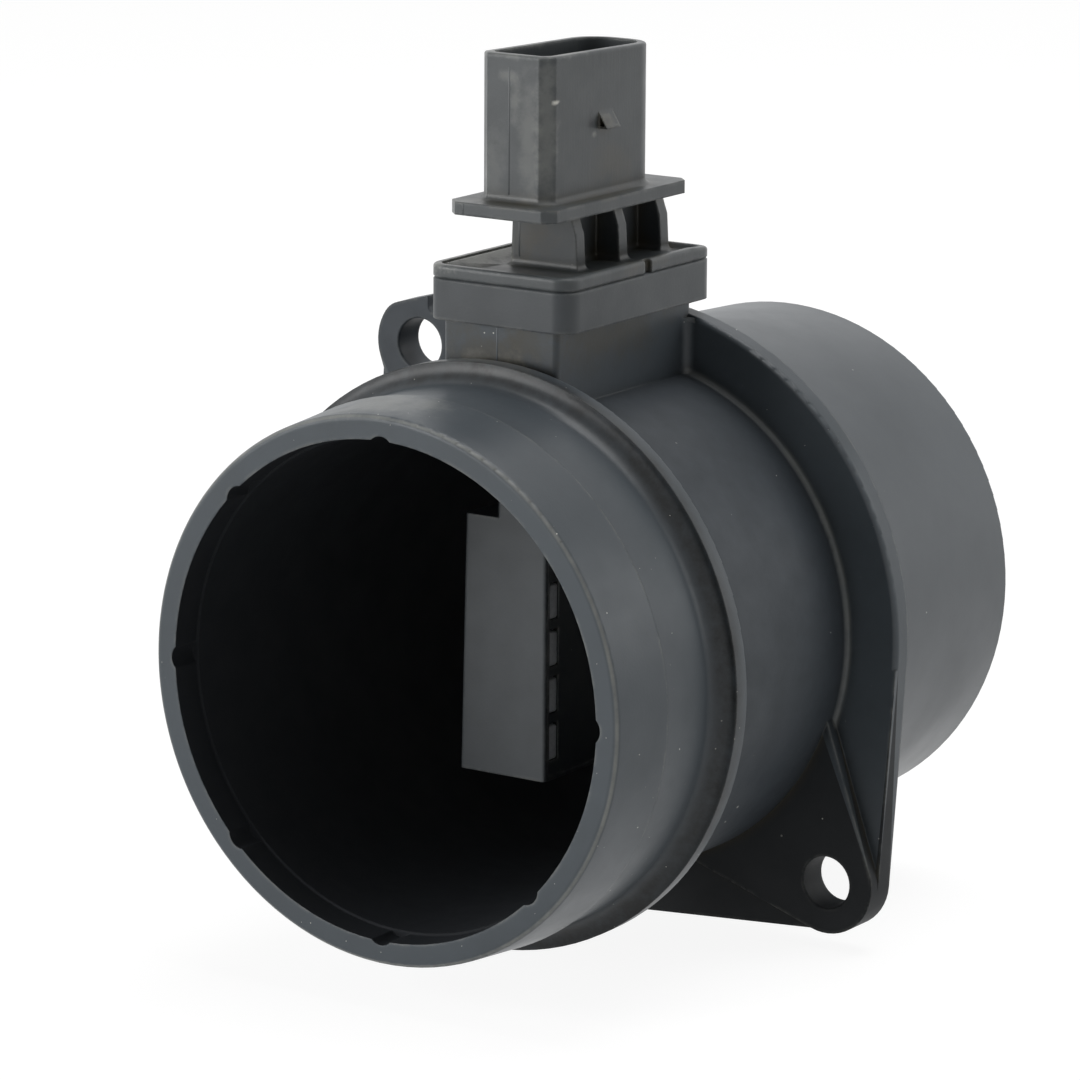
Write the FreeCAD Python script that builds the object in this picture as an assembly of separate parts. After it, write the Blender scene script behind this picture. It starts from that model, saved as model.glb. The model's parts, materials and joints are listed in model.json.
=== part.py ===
"""Mass airflow sensor: a short moulded air tube with a plug-in sensor block on top.

Millimetres, +Z up. The tube's axis is Y, and air flows from the drum (+Y) to the hose mouth (-Y).
The origin is on the tube's axis, in the rear face of the two-eared flange, which bolts to the air box.
Every length along Y below is counted from that face.
"""
import FreeCAD
import Part
import math
import os

V = FreeCAD.Vector
X_AXIS = V(1, 0, 0)
Y_AXIS = V(0, 1, 0)
Z_AXIS = V(0, 0, 1)

# Air tube: lengths along the axis from the flange's rear face
mouth_y = -67.3
bead_end_y = -55.7
collar_front_y = -42.0
collar_rear_y = -39.1
drum_length = 42.5
flange_thickness = 3.3
ear_raise = 2.0

# Air tube: the bore, and the walls and steps outside it
bore_radius = 36.1
barrel_wall = 2.3
barrel_fillet = 0.8
hose_wall = 4.3
lip_drop = 0.4
lip_round = 0.9
bead_rise = 0.5
collar_rise = 3.2
collar_fillet = 3.0
collar_edge = 0.4
grid_seat_step = 1.8
drum_wall = 1.85
drum_taper = 1.85
drum_edge = 0.5
mouth_ledge_depth = 5.0
mouth_relief = 0.4

# Small shallow notches round the mouth, none at the upper right
notch_count = 7
notch_start = 90.0
notch_pitch = 45.0
notch_radius = 2.2
notch_depth = 0.65

# Two-eared flange
flange_rise = 8.6
flange_edge = 0.8
ear_pitch_radius = 51.9
ear_angle = -44.8
ear_radius = 7.8
ear_hole_radius = 3.95
ear_hole_round = 0.2
ear_side_angle = 26.2
ear_side_length = 32.0
ear_top_height = 7.18
ear_top_slope = 15.0
ear_top_round = 4.0
relief_start = 1.6
relief_depth = 5.5
relief_round = 1.2

# Tower that carries the sensor block
tower_half_width = 9.95
tower_front_y = -37.65
tower_rear_y = -1.9
tower_rise = 1.3
tower_corner = 0.9
tower_wall = 2.2
tower_front_wall = 1.55
tower_flange_fillet = 1.6
window_corner = 2.0

# Sensor block: carrier below the parting line, cover above it
block_half_width = 12.5
block_front_y = -38.6
block_rear_y = 0.5
block_corner = 3.1
carrier_height = 6.05
cover_height = 2.0
cover_edge = 0.5
parting_bevel = 0.25
cover_rear_drop = 0.5
cover_drop_length = 6.0
cover_step = 1.0
cover_step_gap = 0.3
tray_depth = 1.25
tray_rim = 1.2
tray_slope = 0.9
chamber_wall = 2.9
chamber_floor = 1.6
chamber_corner = 1.7
bond_width = 1.0
bond_depth = 0.9
cover_notch_y = -18.6
cover_notch_width = 1.8
cover_notch_depth = 0.9

# Plug that fills the tower, with its ring seal
plug_clearance = 0.15
plug_bottom_z = 37.0
seal_height = 2.4
seal_depth = 1.3
seal_top_gap = 4.0

# Root and bypass body that hang in the air stream
root_left_x = -1.5
root_right_x = 6.5
root_corner = 0.6
root_rear_y = -15.0
bypass_half_width = 7.1
bypass_draft = 0.85
bypass_front_y = -36.0
bypass_rear_y = -14.0
bypass_top_z = 19.6
bypass_bottom_z = -19.0
bypass_wall = 1.2
channel_wall = 1.4
inlet_height = 8.0
outlet_height = 12.0
side_cover_thickness = 1.0
side_cover_margin = 0.7

# Shield strip behind the four slots in the side cover
slot_count = 4
slot_height = 5.6
slot_pitch = 7.05
slot_width = 2.4
slot_first_z = -16.0
slot_front_gap = 1.1
strip_thickness = 0.6
strip_front_lap = 0.2
strip_margin = 0.9

# Measuring strip with the hot film element, and the air temperature bead
strip_width = 7.0
measuring_strip_thickness = 1.0
measuring_strip_bottom_z = 2.0
element_width = 3.0
element_height = 5.0
element_thickness = 0.4
element_proud = 0.15
element_rise = 0.6
bead_sensor_radius = 1.3
bead_sensor_round = 0.6
bead_sensor_length = 3.4
bead_sensor_z = 26.0
bead_sensor_y = -9.0
lead_radius = 0.3
lead_spacing = 1.6

# Electronics in the chamber
spreader_thickness = 1.0
board_thickness = 0.8
board_gap = 0.3
chip_height = 0.9
signal_chip_size = 7.0
power_chip_size = 4.5
capacitor_count = 3
capacitor_length = 2.4
capacitor_width = 1.4
capacitor_pitch = 3.2

# Neck with ribs below the connector plate
neck_half_width = 5.5
neck_front_y = -26.25
neck_rear_y = -1.8
neck_top_z = 63.9
neck_core_half = 1.6
rib_thickness = 2.1
rib_shoulder = 1.2
rib_shoulder_z = 60.4
neck_draft = 0.3
neck_foot = 0.9

# Connector plate and shroud
plate_half_width = 9.1
plate_front_y = -38.3
plate_rear_y = -1.1
plate_thickness = 1.9
plate_chamfer = 1.65
shroud_half_width = 6.2
shroud_front_y = -34.5
shroud_rear_y = -5.55
shroud_top_z = 87.2
shroud_rim_drop = 0.7
shroud_chamfer = 1.75
shroud_round = 5.0
shroud_wall = 1.35
shroud_rim_edge = 0.4
shroud_foot = 0.9
cavity_floor_z = 68.6
latch_y = -21.65
latch_z = 75.55
latch_width = 3.6
latch_height = 2.45
latch_proud = 1.55
latch_core_share = 0.62
latch_core_depth = 2.4

# Terminals
terminal_count = 5
terminal_pitch = 3.5
terminal_middle_y = -20.1
terminal_width = 0.8
terminal_thickness = 0.64
terminal_tip_z = 80.5
terminal_tip_bevel = 0.24
terminal_jog = 2.2
terminal_jog_z = 66.4

# Flow grid in the drum's rear mouth
grid_recess = 2.6
grid_depth = 8.0
grid_rim = 1.6
grid_clearance = 0.1
cell_flats = 5.6
cell_wall = 0.8
ring_depth = 1.6
ring_width = 1.8
ring_groove = 0.6

barrel_radius = bore_radius + barrel_wall
hose_seat_radius = bore_radius + hose_wall
lip_radius = hose_seat_radius - lip_drop
bead_radius = hose_seat_radius + bead_rise
collar_radius = hose_seat_radius + collar_rise
grid_seat_radius = bore_radius + grid_seat_step
drum_rear_radius = grid_seat_radius + drum_wall
drum_front_radius = drum_rear_radius + drum_taper
flange_radius = barrel_radius + flange_rise
flange_front_y = -flange_thickness
ear_front_y = flange_front_y - ear_raise
tower_top_z = flange_radius + tower_rise
tower_low_z = math.sqrt(bore_radius ** 2 - tower_half_width ** 2)
window_half_width = tower_half_width - tower_wall
window_front_y = tower_front_y + tower_front_wall
window_rear_y = tower_rear_y - tower_wall
block_split_z = tower_top_z + carrier_height
block_top_z = block_split_z + cover_height
tray_floor_z = block_top_z - tray_depth
chamber_floor_z = tower_top_z + chamber_floor
board_top_z = chamber_floor_z + spreader_thickness + board_thickness
plate_top_z = neck_top_z + plate_thickness
slot_front_y = bypass_front_y + slot_front_gap
slot_rear_y = slot_front_y + slot_width
rise_front_y = slot_rear_y + strip_margin + channel_wall
rise_rear_y = rise_front_y + inlet_height
measuring_strip_y = (rise_front_y + rise_rear_y - strip_width) / 2


def polygon(points):
    """Flat face through the given points."""
    return Part.Face(Part.makePolygon(points + [points[0]]))


def box(x0, x1, y0, y1, z0, z1):
    """Box between two corners."""
    return Part.makeBox(x1 - x0, y1 - y0, z1 - z0, V(x0, y0, z0))


def rounded_prism(x0, x1, y0, y1, z0, z1, radius):
    """Upright prism with a rectangular outline and rounded corners."""
    shape = box(x0, x1, y0, y1, z0, z1)
    return shape.makeFillet(radius, upright_edges(shape))


def upright_edges(shape):
    """Straight edges of the shape that stand along Z."""
    return [edge for edge in shape.Edges if is_along(edge, Z_AXIS)]


def is_along(edge, axis):
    """True for a straight edge that runs along the axis."""
    if not isinstance(edge.Curve, Part.Line):
        return False
    return abs(abs(edge.Curve.Direction.dot(axis)) - 1.0) < 1e-6


def edges_at_z(shape, z):
    """Every edge that lies in the level plane z."""
    found = []
    for edge in shape.Edges:
        bounds = edge.BoundBox
        if abs(bounds.ZMin - z) < 1e-4 and abs(bounds.ZMax - z) < 1e-4:
            found.append(edge)
    return found


def edges_above(shape, z):
    """Every edge that lies at or above the level z."""
    return [edge for edge in shape.Edges if edge.BoundBox.ZMin > z - 1e-4]


def cylinder_y(radius, y0, y1, x=0.0, z=0.0):
    """Cylinder along Y."""
    return Part.makeCylinder(radius, y1 - y0, V(x, y0, z), Y_AXIS)


def turned(points):
    """Solid of revolution about Y from (radius, y) points."""
    face = polygon([V(radius, y, 0) for radius, y in points])
    return face.revolve(V(0, 0, 0), Y_AXIS, 360)


def circles_at(shape, y, radius):
    """Circular edges about the tube's axis at one place and radius."""
    found = []
    for edge in shape.Edges:
        curve = edge.Curve
        if not isinstance(curve, Part.Circle):
            continue
        if abs(curve.Center.y - y) < 1e-4 and abs(curve.Radius - radius) < 1e-4:
            found.append(edge)
    return found


def tube_skin():
    """Outside of the air tube: hose bead, hose seat, collar, barrel, flange disc and drum, still solid."""
    skin = turned([
        (0, mouth_y), (lip_radius, mouth_y), (bead_radius, bead_end_y), (hose_seat_radius, bead_end_y),
        (hose_seat_radius, collar_front_y), (collar_radius, collar_front_y),
        (collar_radius, collar_rear_y), (barrel_radius, collar_rear_y),
        (barrel_radius, flange_front_y), (flange_radius, flange_front_y), (flange_radius, 0),
        (drum_front_radius, 0), (drum_rear_radius, drum_length), (0, drum_length),
    ])
    skin = skin.makeFillet(lip_round, circles_at(skin, mouth_y, lip_radius))
    skin = skin.makeFillet(collar_fillet, circles_at(skin, collar_front_y, hose_seat_radius))
    skin = skin.makeFillet(collar_edge, circles_at(skin, collar_rear_y, collar_radius))
    skin = skin.makeFillet(barrel_fillet, circles_at(skin, flange_front_y, barrel_radius))
    skin = skin.makeFillet(flange_edge, circles_at(skin, flange_front_y, flange_radius))
    return skin.makeFillet(drum_edge, circles_at(skin, drum_length, drum_rear_radius))


def ear_centre(side):
    """Centre of one ear's hole; side is 1 or -1."""
    turn = math.radians(ear_angle)
    reach = side * ear_pitch_radius
    return V(reach * math.cos(turn), 0, reach * math.sin(turn))


def ear_plate(side):
    """Thin flange web of one ear: the hull of the flange disc and the ear's round end."""
    lean = math.acos((flange_radius - ear_radius) / ear_pitch_radius)
    middle = math.radians(ear_angle) + (0 if side > 0 else math.pi)
    centre = ear_centre(side)
    corners = [V(0, flange_front_y, 0)]
    for turn in (middle - lean, middle + lean):
        out = V(math.cos(turn), 0, math.sin(turn))
        pair = [out * flange_radius, centre + out * ear_radius]
        if turn > middle:
            pair.reverse()
        corners += [V(point.x, flange_front_y, point.z) for point in pair]
    web = polygon(corners).extrude(V(0, flange_thickness, 0))
    return web.fuse(cylinder_y(ear_radius, flange_front_y, 0, centre.x, centre.z))


def ear_block(side):
    """Raised front layer of one ear, whose straight sides open towards the barrel."""
    middle = math.radians(ear_angle) + (0 if side > 0 else math.pi)
    lean = math.radians(90 - ear_side_angle)
    centre = ear_centre(side)
    corners = []
    for turn, sign in ((middle - lean, -1), (middle + lean, 1)):
        out = V(math.cos(turn), 0, math.sin(turn))
        along = V(-math.sin(turn), 0, math.cos(turn)) * sign
        tangent = centre + out * ear_radius
        pair = [tangent + along * ear_side_length, tangent]
        if sign > 0:
            pair.reverse()
        corners += [V(point.x, ear_front_y, point.z) for point in pair]
    wedge = polygon(corners).extrude(V(0, ear_raise, 0))
    return wedge.fuse(cylinder_y(ear_radius, ear_front_y, flange_front_y, centre.x, centre.z))


def ear_hole(side):
    """Clear hole of one ear with a softened rim at the front."""
    centre = ear_centre(side)
    hole = cylinder_y(ear_hole_radius, ear_front_y, 0, centre.x, centre.z)
    wide = ear_hole_radius + ear_hole_round
    rim = Part.makeCone(wide, ear_hole_radius, ear_hole_round, V(centre.x, ear_front_y, centre.z), Y_AXIS)
    return hole.fuse(rim)


def ear_relief():
    """Cut in the web beside the tower, above the upper ear's inner half."""
    start = ear_centre(-1).x + relief_start
    low_z = flange_radius - relief_depth
    cut = box(start, -tower_half_width, ear_front_y, 0, low_z, flange_radius)
    inner = []
    for edge in cut.Edges:
        bounds = edge.BoundBox
        if is_along(edge, Y_AXIS) and abs(bounds.XMin - start) < 1e-4 and abs(bounds.ZMin - low_z) < 1e-4:
            inner.append(edge)
    return cut.makeFillet(relief_round, inner)


def ear_top_trim():
    """Cut that gives the upper ear its sloping top, which climbs towards the tower."""
    centre = ear_centre(-1)
    rise = math.tan(math.radians(ear_top_slope)) * ear_radius
    x0 = centre.x - ear_radius
    x1 = centre.x + ear_radius
    top = centre.z + ear_top_height
    high = centre.z + ear_radius + rise
    corners = [V(x0, ear_front_y, top - rise), V(x1, ear_front_y, top + rise),
               V(x1, ear_front_y, high), V(x0, ear_front_y, high)]
    return polygon(corners).extrude(V(0, -ear_front_y, 0))


def ear_top_corner(shape):
    """Edges where the upper ear's sloping top meets its round side."""
    centre = ear_centre(-1)
    found = []
    for edge in shape.Edges:
        spot = edge.Vertexes[0].Point
        reach = math.hypot(spot.x - centre.x, spot.z - centre.z)
        above_left = spot.x < centre.x < 0 < centre.z < spot.z
        if is_along(edge, Y_AXIS) and above_left and abs(reach - ear_radius) < 1e-3:
            found.append(edge)
    return found


def tower():
    """Upright rectangular tower between the barrel and the sensor block, with its rear fillets."""
    body = rounded_prism(-tower_half_width, tower_half_width, tower_front_y, tower_rear_y,
                         tower_low_z, tower_top_z, tower_corner)
    for side in (-1, 1):
        size = tower_flange_fillet
        corner = V(side * tower_half_width, flange_front_y - size, tower_low_z)
        block = polygon([
            corner, corner + V(side * size, size, 0), corner + V(0, size, 0),
        ]).extrude(V(0, 0, flange_top(tower_half_width + size) - tower_low_z))
        centre = V(side * (tower_half_width + size), corner.y, 0)
        round_cut = Part.makeCylinder(size, tower_top_z, centre, Z_AXIS)
        body = body.fuse(block.cut(round_cut))
    return body


def flange_top(x):
    """Height of the flange disc's edge at the given x."""
    return math.sqrt(flange_radius ** 2 - x ** 2)


def mouth_notches():
    """Shallow round-bottomed grooves in the mouth, from the face to the ledge."""
    grooves = []
    reach = bore_radius + mouth_relief + notch_depth - notch_radius
    for index in range(notch_count):
        turn = math.radians(notch_start + notch_pitch * index)
        grooves.append(cylinder_y(notch_radius, mouth_y, mouth_y + mouth_ledge_depth,
                                  reach * math.cos(turn), reach * math.sin(turn)))
    return grooves


def tube_housing():
    """Air tube, collar, tower, two-eared flange and drum: one moulding."""
    outside = tube_skin()
    for side in (-1, 1):
        outside = outside.fuse(ear_plate(side))
        outside = outside.fuse(ear_block(side))
    outside = outside.cut(ear_top_trim())
    outside = outside.fuse(tower()).removeSplitter()
    outside = outside.makeFillet(ear_top_round, ear_top_corner(outside))
    grid_start = drum_length - grid_recess - grid_depth
    ring_start = drum_length - grid_recess
    bore = cylinder_y(bore_radius, mouth_y, drum_length)
    relief = cylinder_y(bore_radius + mouth_relief, mouth_y, mouth_y + mouth_ledge_depth)
    seat = cylinder_y(grid_seat_radius, grid_start, drum_length)
    groove = cylinder_y(grid_seat_radius + ring_groove, ring_start, ring_start + ring_depth)
    window = rounded_prism(-window_half_width, window_half_width, window_front_y, window_rear_y,
                           tower_low_z, tower_top_z, window_corner)
    cuts = [bore, relief, seat, groove, window, ear_relief()]
    cuts += [ear_hole(side) for side in (-1, 1)] + mouth_notches()
    return outside.cut(cuts)


def hexagon(radius, x, z, y):
    """Flat hexagon in a plane across the tube."""
    corners = []
    for index in range(6):
        turn = math.radians(30 + 60 * index)
        corners.append(V(x + radius * math.cos(turn), y, z + radius * math.sin(turn)))
    return polygon(corners)


def flow_grid():
    """Honeycomb disc that straightens the air as it enters the drum."""
    start = drum_length - grid_recess - grid_depth
    outer = grid_seat_radius - grid_clearance
    disc = cylinder_y(outer, start, start + grid_depth)
    pitch = cell_flats + cell_wall
    row_step = pitch * math.cos(math.radians(30))
    cell_radius = cell_flats / math.sqrt(3)
    reach = outer - grid_rim - cell_radius
    rows = int(reach / row_step)
    cells = []
    for row in range(-rows, rows + 1):
        shift = pitch / 2 if row % 2 else 0
        columns = int(reach / pitch) + 1
        for column in range(-columns, columns + 1):
            x = column * pitch + shift
            z = row * row_step
            if math.hypot(x, z) <= reach:
                cells.append(hexagon(cell_radius, x, z, start).extrude(V(0, grid_depth, 0)))
    return disc.cut(cells)


def grid_ring():
    """Open wire ring that snaps into the groove behind the grid."""
    start = drum_length - grid_recess
    outer = grid_seat_radius + ring_groove - grid_clearance
    ring = cylinder_y(outer, start, start + ring_depth - grid_clearance)
    ring = ring.cut(cylinder_y(outer - ring_width, start, start + ring_depth))
    gap = box(-ring_width, ring_width, start, start + ring_depth, -outer, 0)
    return ring.cut(gap)


def plug():
    """Part of the carrier that fills the tower's window, with the groove for the seal."""
    gap = plug_clearance
    body = rounded_prism(-window_half_width + gap, window_half_width - gap, window_front_y + gap,
                         window_rear_y - gap, plug_bottom_z, tower_top_z, window_corner - gap)
    return body.cut(seal_ring())


def seal_ring():
    """Ring seal in the plug's groove, pressing on the tower's window all round."""
    top = tower_top_z - seal_top_gap
    low = top - seal_height
    outer = rounded_prism(-window_half_width, window_half_width, window_front_y, window_rear_y,
                          low, top, window_corner)
    deep = seal_depth
    inner = rounded_prism(-window_half_width + deep, window_half_width - deep, window_front_y + deep,
                          window_rear_y - deep, low, top, window_corner - deep)
    return outer.cut(inner)


def channel():
    """Air path inside the bypass body, open to the side that the side cover closes."""
    x0 = -bypass_half_width + bypass_wall
    x1 = bypass_half_width
    low = bypass_bottom_z + channel_wall
    inlet = box(x0, x1, rise_front_y, bypass_rear_y, low, low + inlet_height)
    top = bypass_top_z - channel_wall
    rise = box(x0, x1, rise_front_y, rise_rear_y, low, top)
    outlet = box(-bypass_half_width - bypass_draft, x1, rise_front_y, rise_rear_y, top - outlet_height, top)
    return inlet.fuse([rise, outlet])


def bypass_block():
    """Bypass body with softened upright edges; its left side leans out towards the bottom."""
    left = -bypass_half_width
    body = polygon([
        V(left, bypass_front_y, bypass_top_z), V(bypass_half_width, bypass_front_y, bypass_top_z),
        V(bypass_half_width, bypass_front_y, bypass_bottom_z),
        V(left - bypass_draft, bypass_front_y, bypass_bottom_z),
    ]).extrude(V(0, bypass_rear_y - bypass_front_y, 0))
    level = (X_AXIS, Y_AXIS)
    upright = [edge for edge in body.Edges if not any(is_along(edge, axis) for axis in level)]
    return body.makeFillet(bypass_wall / 2, upright)


def side_recess(thickness):
    """Shallow recess in the bypass body's side that takes the side cover."""
    margin = side_cover_margin
    return box(bypass_half_width - thickness, bypass_half_width, bypass_front_y + margin,
               bypass_rear_y - margin, bypass_bottom_z + margin, bypass_top_z - margin)


def shield_strip():
    """Metal strip under the side cover that shows through its four slots."""
    x1 = bypass_half_width - side_cover_thickness
    span = slot_pitch * (slot_count - 1) + slot_height
    return box(x1 - strip_thickness, x1, slot_front_y - strip_front_lap, slot_rear_y + strip_margin,
               slot_first_z - strip_margin, slot_first_z + span + strip_margin)


def side_cover():
    """Cover plate of the bypass channel with a row of four slots near its front edge."""
    cover = side_recess(side_cover_thickness)
    slots = []
    for index in range(slot_count):
        low = slot_first_z + index * slot_pitch
        slot = box(bypass_half_width - side_cover_thickness, bypass_half_width, slot_front_y, slot_rear_y,
                   low, low + slot_height)
        slots.append(slot)
    return cover.cut(slots)


def measuring_strip():
    """Thin strip that runs from the circuit down the root into the bypass channel."""
    half = measuring_strip_thickness / 2
    return box(-half, half, measuring_strip_y, measuring_strip_y + strip_width,
               measuring_strip_bottom_z, board_top_z - board_thickness)


def element_box():
    """Hot film element, let into the measuring strip's face."""
    half = measuring_strip_thickness / 2
    middle = measuring_strip_y + strip_width / 2
    low = measuring_strip_bottom_z + element_rise
    return box(half + element_proud - element_thickness, half + element_proud,
               middle - element_width / 2, middle + element_width / 2, low, low + element_height)


def temperature_bead():
    """Air temperature bead below the plug, in the open stream."""
    body = Part.makeCylinder(bead_sensor_radius, bead_sensor_length,
                             V(0, bead_sensor_y, bead_sensor_z), Z_AXIS)
    return body.makeFillet(bead_sensor_round, edges_at_z(body, bead_sensor_z))


def temperature_lead(side):
    """Wire from the bead up to the circuit."""
    low = bead_sensor_z + bead_sensor_length
    return Part.makeCylinder(lead_radius, board_top_z - low,
                             V(0, bead_sensor_y + side * lead_spacing / 2, low), Z_AXIS)


def chamber(z0, z1, gap=0.0):
    """Block of space inside the carrier's wall."""
    wall = chamber_wall + gap
    return rounded_prism(-block_half_width + wall, block_half_width - wall, block_front_y + wall,
                         block_rear_y - wall, z0, z1, chamber_corner)


def bond_ring():
    """Cured bond between the carrier's rim and the cover."""
    inset = (chamber_wall - bond_width) / 2
    low = block_split_z - bond_depth
    outer = rounded_prism(-block_half_width + inset, block_half_width - inset, block_front_y + inset,
                          block_rear_y - inset, low, block_split_z, block_corner - inset)
    deep = inset + bond_width
    inner = rounded_prism(-block_half_width + deep, block_half_width - deep, block_front_y + deep,
                          block_rear_y - deep, low, block_split_z, block_corner - deep)
    return outer.cut(inner)


def sensor_carrier():
    """Block base, plug, root and bypass body: one moulding."""
    base = rounded_prism(-block_half_width, block_half_width, block_front_y, block_rear_y,
                         tower_top_z, block_split_z, block_corner)
    base = base.makeChamfer(parting_bevel, edges_at_z(base, block_split_z))
    root = rounded_prism(root_left_x, root_right_x, bypass_front_y, root_rear_y,
                         bypass_top_z, plug_bottom_z, root_corner)
    body = bypass_block()
    carrier = base.fuse([plug(), root, body]).removeSplitter()
    cuts = [chamber(chamber_floor_z, block_split_z), bond_ring(), channel(),
            side_recess(side_cover_thickness), shield_strip(), measuring_strip()]
    cuts += [temperature_lead(side) for side in (-1, 1)]
    return carrier.cut(cuts)


def heat_spreader():
    """Metal plate on the chamber's floor, with a slot for the measuring strip."""
    plate = chamber(chamber_floor_z, chamber_floor_z + spreader_thickness, board_gap)
    holes = [temperature_lead(side) for side in (-1, 1)] + [measuring_strip()]
    return plate.cut(holes)


def circuit_board():
    """Ceramic circuit board on the heat spreader."""
    low = chamber_floor_z + spreader_thickness
    board = chamber(low, low + board_thickness, board_gap)
    return board.cut([temperature_lead(side) for side in (-1, 1)])


def component(x, y, length, width, height):
    """Small block on top of the board, centred at x, y."""
    return box(x - width / 2, x + width / 2, y - length / 2, y + length / 2,
               board_top_z, board_top_z + height)


def signal_chip():
    """Large signal chip beside the terminals."""
    x = block_half_width - chamber_wall - board_gap - signal_chip_size / 2 - board_gap
    return component(x, block_front_y + chamber_wall + signal_chip_size, signal_chip_size,
                     signal_chip_size, chip_height)


def power_chip():
    """Power chip near the front of the board."""
    x = -block_half_width + chamber_wall + board_gap + power_chip_size / 2 + board_gap
    return component(x, block_front_y + chamber_wall + power_chip_size, power_chip_size,
                     power_chip_size, chip_height)


def capacitor(index):
    """One of the row of small capacitors along the board's side."""
    x = -block_half_width + chamber_wall + board_gap + capacitor_width
    y = block_rear_y - chamber_wall - board_gap - capacitor_length - index * capacitor_pitch
    return component(x, y, capacitor_length, capacitor_width, chip_height)


def neck():
    """Ribbed neck: a core across the middle and three upright cross ribs with shouldered sides."""
    core = box(-neck_core_half, neck_core_half, neck_front_y, neck_rear_y, tray_floor_z, neck_top_z)
    middle = (neck_front_y + neck_rear_y) / 2
    starts = [neck_front_y, middle - rib_thickness / 2, neck_rear_y - rib_thickness]
    shape = core
    for start in starts:
        rib = polygon([
            V(-neck_half_width - neck_draft, start, tray_floor_z),
            V(neck_half_width + neck_draft, start, tray_floor_z),
            V(neck_half_width, start, rib_shoulder_z),
            V(neck_half_width - rib_shoulder, start, neck_top_z),
            V(-neck_half_width, start, neck_top_z),
        ]).extrude(V(0, rib_thickness, 0))
        shape = shape.fuse(rib)
    return shape.removeSplitter()


def foot_edges(shape, z, half_width, y0, y1):
    """Edges in the level plane z that lie inside the given rectangle: the foot of what stands there."""
    found = []
    for edge in edges_at_z(shape, z):
        bounds = edge.BoundBox
        if abs(bounds.XMin) > half_width + 1e-4 or abs(bounds.XMax) > half_width + 1e-4:
            continue
        if bounds.YMin > y0 - 1e-4 and bounds.YMax < y1 + 1e-4:
            found.append(edge)
    return found


def connector_plate():
    """Flat plate with chamfered corners under the shroud."""
    plate = box(-plate_half_width, plate_half_width, plate_front_y, plate_rear_y, neck_top_z, plate_top_z)
    return plate.makeChamfer(plate_chamfer, upright_edges(plate))


def shroud_prism(inset, z0, z1):
    """Shroud outline as a prism: chamfered corners at the front, rounded ones at the rear."""
    x1 = shroud_half_width - inset
    y0 = shroud_front_y + inset
    y1 = shroud_rear_y - inset
    block = box(-x1, x1, y0, y1, z0, z1)
    uprights = upright_edges(block)
    front = [edge for edge in uprights if edge.BoundBox.YMin < (y0 + y1) / 2]
    block = block.makeChamfer(shroud_chamfer - inset * (2 - math.sqrt(2)), front)
    rear = [edge for edge in upright_edges(block) if edge.BoundBox.YMin > y1 - 1e-4]
    return block.makeFillet(shroud_round - inset, rear)


def shroud_shell():
    """Outside of the shroud, with a rim that falls a little towards the rear and is softened."""
    shell = shroud_prism(0, plate_top_z, shroud_top_z)
    low = shroud_top_z - shroud_rim_drop
    slope = polygon([
        V(-shroud_half_width, shroud_front_y, shroud_top_z), V(-shroud_half_width, shroud_rear_y, low),
        V(-shroud_half_width, shroud_rear_y, shroud_top_z),
    ]).extrude(V(2 * shroud_half_width, 0, 0))
    shell = shell.cut(slope)
    return shell.makeFillet(shroud_rim_edge, edges_above(shell, low))


def latch_nub():
    """Small wedge on the shroud's side that the plug's latch rides over, cored from the front."""
    root_x = shroud_half_width - shroud_wall / 2
    face_x = shroud_half_width
    outline = [
        V(root_x, latch_y, latch_z), V(face_x + latch_proud, latch_y, latch_z),
        V(face_x, latch_y, latch_z + latch_height), V(root_x, latch_y, latch_z + latch_height),
    ]
    return polygon(outline).extrude(V(0, latch_width, 0))


def latch_core():
    """Pocket that cores the wedge out from its front side, so that its wall stays thin."""
    corners = [
        V(shroud_half_width, latch_y, latch_z), V(shroud_half_width + latch_proud, latch_y, latch_z),
        V(shroud_half_width, latch_y, latch_z + latch_height),
    ]
    middle = (corners[0] + corners[1] + corners[2]) / 3
    inner = [middle + (corner - middle) * latch_core_share for corner in corners]
    return polygon(inner).extrude(V(0, latch_core_depth, 0))


def terminal(index):
    """Flat pin with a jog: up in the shroud, down through the neck to the board."""
    top_y = terminal_middle_y + (index - (terminal_count - 1) / 2) * terminal_pitch
    low_y = top_y + terminal_jog
    half_x = terminal_thickness / 2
    half_y = terminal_width / 2
    upper = box(-half_x, half_x, top_y - half_y, top_y + half_y, terminal_jog_z, terminal_tip_z)
    tip_edges = [edge for edge in edges_at_z(upper, terminal_tip_z) if is_along(edge, X_AXIS)]
    upper = upper.makeChamfer(terminal_tip_bevel, tip_edges)
    jog_top_z = terminal_jog_z + terminal_width
    jog = box(-half_x, half_x, top_y - half_y, low_y + half_y, terminal_jog_z, jog_top_z)
    lower = box(-half_x, half_x, low_y - half_y, low_y + half_y, board_top_z, jog_top_z)
    return upper.fuse([jog, lower]).removeSplitter()


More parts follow.
